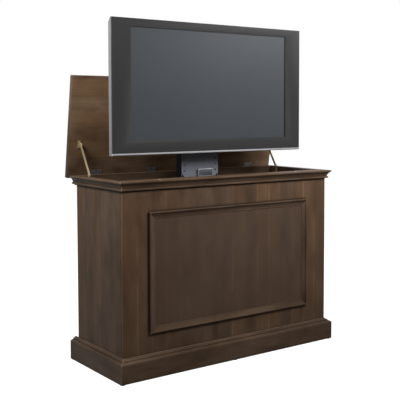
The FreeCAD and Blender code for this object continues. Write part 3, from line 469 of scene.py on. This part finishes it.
def softened(node, radius_mm, segments=2):
    shape = merged(node)
    corners = [e for e in shape.edges if len(e.link_faces) == 2 and e.calc_face_angle() > SHARP]
    bevelled(shape, corners, radius_mm, segments)
    mesh = finished_mesh(shape, node + "_eased", finish_of[node])
    return stand_in(node + "_eased", mesh, nodes[node]["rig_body"], node)


edge_radius = [
    (1.6, "front_panel side_panel_left side_panel_right"),
    (1.6, "plinth_front plinth_back plinth_left plinth_right"),
    (1.5, "tv_bezel tv_cover"),
    (1.2, "rim_rail_front rim_rail_back corner_cleats back_boards bottom_panel"),
    (1.2, "floor_glides control_box"),
    (0.8, "back_access_panel cable_grommet lift_base_plate carriage_guides stage_pads"),
    (0.6, "base_cap_front base_cap_left base_cap_right crown_front crown_left crown_right"),
    (0.5, "front_moulding_top front_moulding_bottom front_moulding_left front_moulding_right"),
    (0.5, "carriage_plate carriage_nut stage_nut lift_column lift_column_pads"),
    (0.5, "lift_base_motor stage_motor"),
    (0.4, "hinge_lower_leaves hinge_upper_leaves"),
    (0.4, "stay_lid_brackets stay_side_brackets stage_brackets"),
    (0.4, "stay_upper_bar_left stay_upper_bar_right stay_lower_bar_left stay_lower_bar_right"),
    (0.4, "tv_rails"),
]
eased = [softened(name, radius) for radius, names in edge_radius for name in names.split()]
print("pieces with eased edges:", len(eased))

# %% [markdown]
# ## Lid
# The underside of the lid is the warm veneer. Its top, which faces back while the lid is open,
# matches the case, and its ends and its free edge are banded. A face counts as facing an axis
# when it looks within about 45 degrees of it.

# %% Lid with banded edges
FACING = 0.7


def painted(mesh, rule, *further):
    # The rule says which finish a face wears: 0 is the mesh's own, 1 the first further one.
    for finish in further:
        mesh.materials.append(finish)
    for face in mesh.polygons:
        face.material_index = int(rule(face))
    return mesh


def lid_finish(face):
    if abs(face.normal.x) > FACING or face.normal.z > FACING:
        return 1
    return 2 if face.normal.y > FACING else 0


lid = painted(softened("lid_panel", 2.6, segments=3).data, lid_finish, wood_edge, wood_top)
print("lid faces:", len(lid.polygons))

# %% [markdown]
# ## Switch box
# The small box on the front of the stage is cast, so its edges are well rounded, and they are
# painted lighter as a painted highlight. The rounded faces are the ones that point along no axis.

# %% Switch box with a painted highlight on its edges
ALONG_AXIS = 0.97


def rounded(face):
    return max(abs(c) for c in face.normal) < ALONG_AXIS


switch_box = painted(softened("stage_switch_box", 4.0, segments=3).data, rounded, box_painted_highlight)
print("switch box faces:", len(switch_box.polygons))

# %% [markdown]
# ## Stage channel
# The middle stage is a folded steel channel. Its front is charcoal, and the returns at its sides
# are painted black as painted shade. The faces are picked by their direction.

# %% Folded channel with returns painted black as painted shade
def sideways(face):
    return abs(face.normal.x) > FACING


channel = painted(softened("stage_channel", 0.5).data, sideways, black_paint_and_painted_shade)
print("channel faces:", len(channel.polygons))

# %% [markdown]
# ## Field of the front panel
# The raised moulding frames a separate sheet of veneer, a little greyer than the rest. It is a
# thin sheet with eased edges, set between the sticks, and its size comes from them.

# %% Field sheet
FIELD_THICKNESS = 0.8 * MM


def box_shape(low, high):
    shape = bmesh.new()
    middle = (low + high) / 2
    size = high - low
    place = Matrix.Translation(middle) @ Matrix.Diagonal((size.x, size.y, size.z, 1))
    bmesh.ops.create_cube(shape, size=1.0, matrix=place)
    return shape


def field_sheet():
    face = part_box("front_panel")[0].y
    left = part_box("front_moulding_left")[1].x
    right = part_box("front_moulding_right")[0].x
    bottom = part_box("front_moulding_bottom")[1].z
    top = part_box("front_moulding_top")[0].z
    shape = box_shape(Vector((left, face - FIELD_THICKNESS, bottom)), Vector((right, face, top)))
    bevelled(shape, shape.edges[:], 0.3, 2)
    mesh = finished_mesh(shape, "front_field_veneer", wood_field)
    sheet = stand_in("front_field_veneer", mesh, "cabinet")
    return sheet


sheet = field_sheet()
print("field:", [round(v, 3) for v in sheet.dimensions])

# %% [markdown]
# ## Turned pieces
# Bumpers and the heads of screws and bolts are built about an axis. Each is a profile of a few
# points, turned in small steps and closed at both ends. A screw then gets its cross.

# %% Turn a profile about its axis
SCREW_SIDES = 16


def skinned(shape, rings):
    # Joins rings of as many corners each into one closed skin, with a flat cap at either end.
    for lower, upper in zip(rings, rings[1:]):
        for i in range(len(lower)):
            j = (i + 1) % len(lower)
            shape.faces.new((lower[i], lower[j], upper[j], upper[i]))
    shape.faces.new(rings[0][::-1])
    shape.faces.new(rings[-1])
    bmesh.ops.recalc_face_normals(shape, faces=shape.faces)
    return shape


def turned(profile_mm, steps):
    # The profile runs from the rim at the seat to the top, in pairs of radius and height.
    shape = bmesh.new()
    rings = []
    for radius, height in profile_mm:
        ring = []
        for i in range(steps):
            angle = 2 * math.pi * i / steps
            corner = Vector((radius * math.cos(angle), radius * math.sin(angle), height))
            ring.append(shape.verts.new(corner * MM))
        rings.append(ring)
    return skinned(shape, rings)


def cross_head(radius, height):
    # A pan head whose flat top gives way to a sunk cross of 12 corners. Its proportions are
    # shares of its radius and height.
    rim = turned([(radius, 0), (radius, height * 0.5), (radius * 0.82, height * 0.92)], SCREW_SIDES)
    rim.faces.ensure_lookup_table()
    rim.faces.remove(rim.faces[-1])
    arm, half = radius * 0.55, radius * 0.16
    corners = [(arm, -half), (arm, half), (half, half), (half, arm), (-half, arm), (-half, half)]
    corners += [(-x, -y) for x, y in corners]
    top = [rim.verts.new(Vector((x, y, height)) * MM) for x, y in corners]
    floor = [rim.verts.new(Vector((x * 0.8, y * 0.8, height * 0.45)) * MM) for x, y in corners]
    count = len(corners)
    upper = [rim.edges.new((top[i], top[(i + 1) % count])) for i in range(count)]
    open_rim = [e for e in rim.edges if len(e.link_faces) == 1]
    bmesh.ops.bridge_loops(rim, edges=open_rim + upper)
    for i in range(count):
        j = (i + 1) % count
        rim.faces.new((top[i], top[j], floor[j], floor[i]))
    rim.faces.new(floor)
    bmesh.ops.recalc_face_normals(rim, faces=rim.faces)
    return rim


# %% [markdown]
# ## Small pieces by Geometry Nodes
# Small pieces that repeat are one mesh set down on many points. A geometry tree does that: each
# point carries the direction that its piece faces, the tree turns the piece to it, gives it a
# random turn about its own axis, and makes the copies real. One tree serves them all, because
# only the piece, the points and the finish change.

# %% A tree that sets a piece on points
TURN_SEED = 7


def opened(name, inputs):
    # A new geometry tree, with the sockets that its inputs arrive by.
    tree = bpy.data.node_groups.new(name, "GeometryNodeTree")
    for label, kind in {"Geometry": "Geometry", **inputs}.items():
        tree.interface.new_socket(label, in_out="INPUT", socket_type="NodeSocket" + kind)
    tree.interface.new_socket("Geometry", in_out="OUTPUT", socket_type="NodeSocketGeometry")
    return tree, put(tree, "NodeGroupInput").outputs


def delivered(tree, geometry, finish):
    # Makes the copies real, gives them their finish and sends them out of the tree.
    real = put(tree, "GeometryNodeRealizeInstances", {"Geometry": geometry})
    inputs = {"Geometry": real.outputs[0], "Material": finish}
    coated = put(tree, "GeometryNodeSetMaterial", inputs)
    put(tree, "NodeGroupOutput", {"Geometry": coated.outputs[0]})
    return tree


def facing_tree():
    kinds = {"Piece": "Object", "Finish": "Material", "Largest turn": "Float"}
    tree, given = opened("set_on_points", kinds)
    piece = put(tree, "GeometryNodeObjectInfo", {"Object": given["Piece"]})
    facing = put(
        tree, "GeometryNodeInputNamedAttribute", {"Name": "facing"}, data_type="FLOAT_VECTOR"
    ).outputs["Attribute"]
    aimed = put(tree, "FunctionNodeAlignRotationToVector", {"Vector": facing}, axis="Z")
    draw = {"Max": given["Largest turn"], "Seed": TURN_SEED}
    spin = put(tree, "FunctionNodeRandomValue", draw, data_type="FLOAT").outputs["Value"]
    about = {"Axis": (0, 0, 1), "Angle": spin}
    local = put(tree, "FunctionNodeAxisAngleToRotation", about)
    both = {"Rotation": aimed.outputs[0], "Rotate By": local.outputs[0]}
    turn = put(tree, "FunctionNodeRotateRotation", both, rotation_space="LOCAL").outputs[0]
    inputs = {"Points": given["Geometry"], "Instance": piece.outputs["Geometry"], "Rotation": turn}
    copies = put(tree, "GeometryNodeInstanceOnPoints", inputs)
    return delivered(tree, copies.outputs[0], given["Finish"])


set_on_points = facing_tree()


def tree_result(tree, start, settings):
    # Runs a geometry tree on a mesh and keeps the result as a plain mesh.
    holder = placed(start.name, start)
    modifier = holder.modifiers.new(tree.name, "NODES")
    modifier.node_group = tree
    sockets = {s.name: s.identifier for s in tree.interface.items_tree if s.in_out == "INPUT"}
    for label, value in settings.items():
        modifier[sockets[label]] = value
    bpy.context.view_layer.update()
    graph = bpy.context.evaluated_depsgraph_get()
    result = bpy.data.meshes.new_from_object(holder.evaluated_get(graph), depsgraph=graph)
    bpy.data.objects.remove(holder)
    return result


def repeated(name, shape, finish, points, facing, body, replaced=(), largest_turn=0.0):
    cloud = bpy.data.meshes.new(name + "_points")
    cloud.from_pydata([tuple(p) for p in points], [], [])
    directions = cloud.attributes.new("facing", "FLOAT_VECTOR", "POINT")
    directions.data.foreach_set("vector", list(facing) * len(points))
    model = bpy.data.objects.new(name + "_model", finished_mesh(shape, name + "_model", finish))
    settings = {"Piece": model, "Finish": finish, "Largest turn": largest_turn}
    mesh = tree_result(set_on_points, cloud, settings)
    bpy.data.objects.remove(model)
    mesh.name = name
    return stand_in(name, mesh, body, *replaced)


print("tree nodes:", len(set_on_points.nodes))

# %% [markdown]
# ## Screws and bolts
# A node of screws or bolts holds a group of plain CAD heads. They are told apart first, and a
# finished head is set on the seat of each, which lies half the head's height behind its middle.
# The lid stands open, so the direction that its screws face is turned with it.

# %% Cross-head screws and hex bolts
HEAD_RADIUS = 3.5
HEAD_HEIGHT = 1.2
BOLT_RADIUS = 6.5
BOLT_HEIGHT = 5.0
BOLT_SHOULDER = 4.2
BOLT_SIDES = 6
BACKWARD = Vector((0, 1, 0))
UP = Vector((0, 0, 1))
hinge = next(joint for joint in frame["joints"] if joint["name"] == "lid_hinge")
lid_turn = math.radians(hinge["range_deg"][1])
lid_inward = Matrix.Rotation(-lid_turn, 3, "X") @ Vector((0, 0, -1))


def island_boxes(node):
    # The box of each separate solid of a node that holds a group.
    shape = merged(node)
    left = set(shape.verts)
    boxes = []
    while left:
        reach = [left.pop()]
        found = list(reach)
        while reach:
            for edge in reach.pop().link_edges:
                for vert in edge.verts:
                    if vert in left:
                        left.discard(vert)
                        reach.append(vert)
                        found.append(vert)
        low = Vector([min(v.co[i] for v in found) for i in range(3)])
        high = Vector([max(v.co[i] for v in found) for i in range(3)])
        boxes.append((low, high))
    shape.free()
    return sorted(boxes, key=lambda b: tuple(round(c, 5) for c in b[0]))


def on_seats(name, node, shape, finish, facing, height_mm, largest_turn=math.pi):
    # Sets one piece on the seat of each solid of a node.
    centres = [(low + high) / 2 for low, high in island_boxes(node)]
    seats = [c - facing * height_mm * MM / 2 for c in centres]
    repeated(name, shape, finish, seats, facing, nodes[node]["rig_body"], [node], largest_turn)
    print(name, "on", len(seats), "seats")


def screws(name, node, finish, facing):
    on_seats(name, node, cross_head(HEAD_RADIUS, HEAD_HEIGHT), finish, facing, HEAD_HEIGHT)


screws("cabinet_screw_heads", "cabinet_screws", nickel, BACKWARD)
screws("lid_screw_heads", "lid_screws", dark_zinc, lid_inward)
bolt_profile = [(BOLT_RADIUS, 0), (BOLT_RADIUS, BOLT_SHOULDER), (BOLT_RADIUS * 0.86, BOLT_HEIGHT)]
hexagon = turned(bolt_profile, BOLT_SIDES)
on_seats("lift_base_bolt_heads", "lift_base_bolts", hexagon, nickel, UP, BOLT_HEIGHT)

# %% [markdown]
# ## Bumpers
# The closed lid comes down on four clear domes, which stick to the rim of the case.

# %% Bumpers
BUMPER_HEIGHT = 2.7
BUMPER_SIDES = 20
dome_profile = [(6.0, 0), (5.7, 1.0), (4.8, 1.9), (3.2, 2.5), (1.2, BUMPER_HEIGHT)]
dome = turned(dome_profile, BUMPER_SIDES)
on_seats("lid_bumper_domes", "lid_bumpers", dome, clear_rubber, UP, BUMPER_HEIGHT, 0.0)

# %% [markdown]
# ## Louvres on the back of the set
# A plasma set runs hot, so its back is rows of short moulded hoods where the air leaves. They sit
# on the slope above the flat part, each raised about 3 mm. The slope runs from the top of the
# flat back to the top edge, and both ends are measured from the solid.

# %% Louvres
LOUVRE_COLUMNS = 18
LOUVRE_ROWS = 5
LOUVRE_LENGTH = 32.0
LOUVRE_HEIGHT = 7.0
LOUVRE_PROUD = 3.2
LOUVRE_TAPER = 0.94  # the top's length, as a share of the foot's
LOUVRE_LEAN = 0.2  # how far the top hangs over, as a share of the height
LOUVRE_MARGIN = 190 * MM
FIRST_ROW = 0.2  # where the first row lies, as a share of the slope
ROWS_SPAN = 0.6  # how much of the slope the rows span
ON_FLAT = 0.1 * MM
ABOVE_FLAT = 20 * MM
OFF_SIDES = 15 * MM


def louvre_shape():
    half = Vector((LOUVRE_LENGTH / 2, LOUVRE_HEIGHT / 2, 0)) * MM
    shape = box_shape(-half, half + Vector((0, 0, LOUVRE_PROUD * MM)))
    for vert in shape.verts:
        if vert.co.z > LOUVRE_PROUD * MM / 2:
            vert.co.x *= LOUVRE_TAPER
            vert.co.y -= LOUVRE_LEAN * LOUVRE_HEIGHT * MM
    bevelled(shape, shape.edges[:], 0.4, 1)
    return shape


def louvre_places():
    low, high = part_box("tv_cover")
    shape = merged("tv_cover")
    flat = [v.co.z for v in shape.verts if v.co.y > high.y - ON_FLAT]
    foot = Vector((0, high.y, max(flat)))
    # The slope ends at the corner that is furthest back, well above the flat and off the sides.
    above, inside = foot.z + ABOVE_FLAT, high.x - OFF_SIDES
    near = [v.co for v in shape.verts if v.co.z > above and abs(v.co.x) < inside]
    head = max(near, key=lambda c: (round(c.y, 4), c.z)).copy()
    shape.free()
    head.x = 0
    rise = head - foot
    out = Vector((0, rise.z, -rise.y)).normalized()
    half = high.x - LOUVRE_MARGIN
    points = []
    for row in range(LOUVRE_ROWS):
        along = rise * (FIRST_ROW + ROWS_SPAN * row / (LOUVRE_ROWS - 1))
        for column in range(LOUVRE_COLUMNS):
            x = -half + 2 * half * column / (LOUVRE_COLUMNS - 1)
            points.append(Vector((x, 0, 0)) + foot + along)
    return points, out


louvre_points, louvre_out = louvre_places()
louvres = repeated(
    "tv_rear_louvres",
    louvre_shape(),
    black_abs,
    louvre_points,
    louvre_out,
    nodes["tv_cover"]["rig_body"],
)
print("louvres:", len(louvre_points), "facing", [round(c, 2) for c in louvre_out])

# %% [markdown]
# ## Threaded spindles
# A lift spindle has a trapezoidal thread with four starts, so that one turn moves the nut 20 mm.
# A Spiral curve is the path of one start, a small quadrilateral is its section, and Curve to
# Mesh sweeps it. The tree turns the sweep into four starts round a smooth core.

# %% A tree that makes a threaded rod
THREAD_STARTS = 4
THREAD_LEAD = 20.0 * MM
THREAD_DEPTH = 1.3 * MM
STEPS_PER_TURN = 14
CORE_SIDES = 24
SECTION_CORNERS = 4


def thread_tree():
    kinds = dict.fromkeys(("Length", "Turns", "Core radius", "Ridge"), "Float")
    tree, given = opened("threaded_rod", {**kinds, "Steps": "Int", "Finish": "Material"})
    length, radius = given["Length"], given["Core radius"]
    middle = maths(tree, "MULTIPLY", length, 0.5)
    lift = put(tree, "ShaderNodeCombineXYZ", {"Z": middle})
    rod = {"Vertices": CORE_SIDES, "Radius": radius, "Depth": length}
    core = put(tree, "GeometryNodeMeshCylinder", rod).outputs["Mesh"]
    move = {"Geometry": core, "Translation": lift.outputs[0]}
    core = put(tree, "GeometryNodeTransform", move)
    path = put(
        tree,
        "GeometryNodeCurveSpiral",
        {
            "Resolution": given["Steps"],
            "Rotations": given["Turns"],
            "Start Radius": radius,
            "End Radius": radius,
            "Height": length,
        },
    )
    corners = {"Resolution": SECTION_CORNERS, "Radius": given["Ridge"]}
    section = put(tree, "GeometryNodeCurvePrimitiveCircle", corners)
    sweep = {"Curve": path.outputs[0], "Profile Curve": section.outputs[0], "Fill Caps": True}
    ridge = put(tree, "GeometryNodeCurveToMesh", sweep)
    all_parts = put(tree, "GeometryNodeJoinGeometry")
    tree.links.new(core.outputs[0], all_parts.inputs[0])
    for start in range(THREAD_STARTS):
        turn = (0, 0, 2 * math.pi * start / THREAD_STARTS)
        ready = put(tree, "GeometryNodeTransform", {"Geometry": ridge.outputs[0], "Rotation": turn})
        tree.links.new(ready.outputs[0], all_parts.inputs[0])
    return delivered(tree, all_parts.outputs[0], given["Finish"])


threaded_rod = thread_tree()


def threaded(node):
    low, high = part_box(node)
    length = high.z - low.z
    settings = {
        "Length": length,
        "Turns": length / THREAD_LEAD,
        "Core radius": (high.x - low.x) / 2 - THREAD_DEPTH,
        "Ridge": THREAD_DEPTH,
        "Steps": STEPS_PER_TURN,
        "Finish": ground_steel,
    }
    mesh = tree_result(threaded_rod, bpy.data.meshes.new(node + "_path"), settings)
    middle = (low + high) / 2
    mesh.transform(Matrix.Translation((middle.x, middle.y, low.z)))
    mesh.name = node + "_threaded"
    return stand_in(node + "_threaded", mesh, nodes[node]["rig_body"], node)


rods = [threaded(node) for node in ("spindle_base", "spindle_stage")]
print("thread faces:", [len(rod.data.polygons) for rod in rods])

# %% [markdown]
# ## Trim under the screen
# The trim is one moulded bar with a rounded nose. It is silver, and the lowest share of its
# height is black. Its section is an arc of a few points, drawn along the width of the set.

# %% Two-tone trim
TRIM_STEPS = 10
NOSE_DEPTH = 4 * MM
BLACK_SHARE = 0.14


def nose_trim():
    low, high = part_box("tv_trim")
    tall = high.z - low.z
    section = [(high.y, low.z), (high.y, high.z)]
    for i in range(TRIM_STEPS + 1):
        angle = math.pi / 2 - math.pi * i / TRIM_STEPS
        forward = low.y + NOSE_DEPTH - NOSE_DEPTH * math.cos(angle)
        section.append((forward, low.z + tall / 2 + tall / 2 * math.sin(angle)))
    shape = bmesh.new()
    rings = [[shape.verts.new((x, y, z)) for y, z in section] for x in (low.x, high.x)]
    mesh = finished_mesh(skinned(shape, rings), "tv_trim_bar", silver_abs)
    black_under = low.z + BLACK_SHARE * tall
    painted(mesh, lambda face: face.center.z < black_under, gloss_black)
    return stand_in("tv_trim_bar", mesh, nodes["tv_trim"]["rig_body"], "tv_trim")


trim = nose_trim()
print("trim faces:", len(trim.data.polygons))

# %% [markdown]
# ## Studio
# The floor and the world are white to the camera and to reflections, and the object is lit by
# soft lamps and a sky that is brighter above than below. The key lamp hangs close and to the
# right, so the front falls off towards the floor. It is kept out of reflections, so that it
# leaves no patch on the screen. The floor adds its own light to what it receives, which keeps
# it white where it is lit and still lets a faint shadow show.

# %% Floor, world and lamps
FLOOR_REACH = 30
FLOOR_GLOW = 0.91
SKY_BELOW = 0.03
SKY_ABOVE = 0.36
WHITE = (1, 1, 1, 1)


def seen_directly(tree):
    # True for camera, glossy and transmission rays, which should meet a white studio.
    ray = put(tree, "ShaderNodeLightPath").outputs
    either = maths(tree, "MAXIMUM", ray["Is Camera Ray"], ray["Is Glossy Ray"])
    return maths(tree, "MAXIMUM", either, ray["Is Transmission Ray"])


def pale_floor():
    finish, tree = new_finish("paper_floor")
    paper = put(tree, "ShaderNodeBsdfDiffuse", {"Color": linear("#9c9c9c")})
    grey = put(tree, "ShaderNodeBsdfDiffuse", {"Color": linear("#2e2e2e")})
    white = put(tree, "ShaderNodeEmission", {"Color": WHITE, "Strength": FLOOR_GLOW})
    lit = put(tree, "ShaderNodeAddShader", {0: paper.outputs[0], 1: white.outputs[0]})
    seen = seen_directly(tree)
    both = put(tree, "ShaderNodeMixShader", {0: seen, 1: grey.outputs[0], 2: lit.outputs[0]})
    close(tree, both)
    mesh = bpy.data.meshes.new("paper_floor")
    near, far = -FLOOR_REACH, FLOOR_REACH
    corners = [(near, near, 0), (far, near, 0), (far, far, 0), (near, far, 0)]
    mesh.from_pydata(corners, [], [(0, 1, 2, 3)])
    mesh.materials.append(finish)
    floor = placed("paper_floor", mesh)


def white_world():
    world = bpy.data.worlds.new("studio")
    world.use_nodes = True
    tree = world.node_tree
    tree.nodes.clear()
    place = put(tree, "ShaderNodeTexCoord")
    split = put(tree, "ShaderNodeSeparateXYZ", {"Vector": place.outputs["Generated"]})
    level = between(tree, split.outputs["Z"], -0.1, 0.8, SKY_BELOW, SKY_ABOVE)
    light = put(tree, "ShaderNodeBackground", {"Color": WHITE, "Strength": level})
    white = put(tree, "ShaderNodeBackground", {"Color": WHITE, "Strength": 1.0})
    shaders = {0: seen_directly(tree), 1: light.outputs[0], 2: white.outputs[0]}
    both = put(tree, "ShaderNodeMixShader", shaders)
    put(tree, "ShaderNodeOutputWorld", {"Surface": both.outputs[0]})
    bpy.context.scene.world = world


def lamp(name, place, target, size, power, mirrored=True):
    data = bpy.data.lights.new(name, "AREA")
    data.shape = "RECTANGLE"
    data.size, data.size_y = size
    data.energy = power
    made = placed(name, data)
    aim(made, place, target)
    made.visible_glossy = mirrored
    return made


pale_floor()
white_world()
# Each lamp has its place, what it is aimed at, its size in metres and its power in watts.
lamps = [
    lamp("key_softbox", (0.45, -1.28, 1.74), (-0.05, -0.2, 1.25), (1.3, 0.5), 44, mirrored=False),
    lamp("side_softbox", (-1.5, -0.16, 1.85), (-0.6, 0.0, 1.25), (0.8, 0.5), 35),
    lamp("front_softbox", (3.9, -4.1, 2.5), (0.2, 0.0, 1.3), (1.4, 1.0), 34),
    lamp("back_softbox", (0.9, 3.0, 2.4), (0.0, 0.2, 0.8), (1.8, 1.2), 50),
]
bpy.context.scene.view_settings.view_transform = "Standard"
print("lamps:", [made.name for made in lamps])
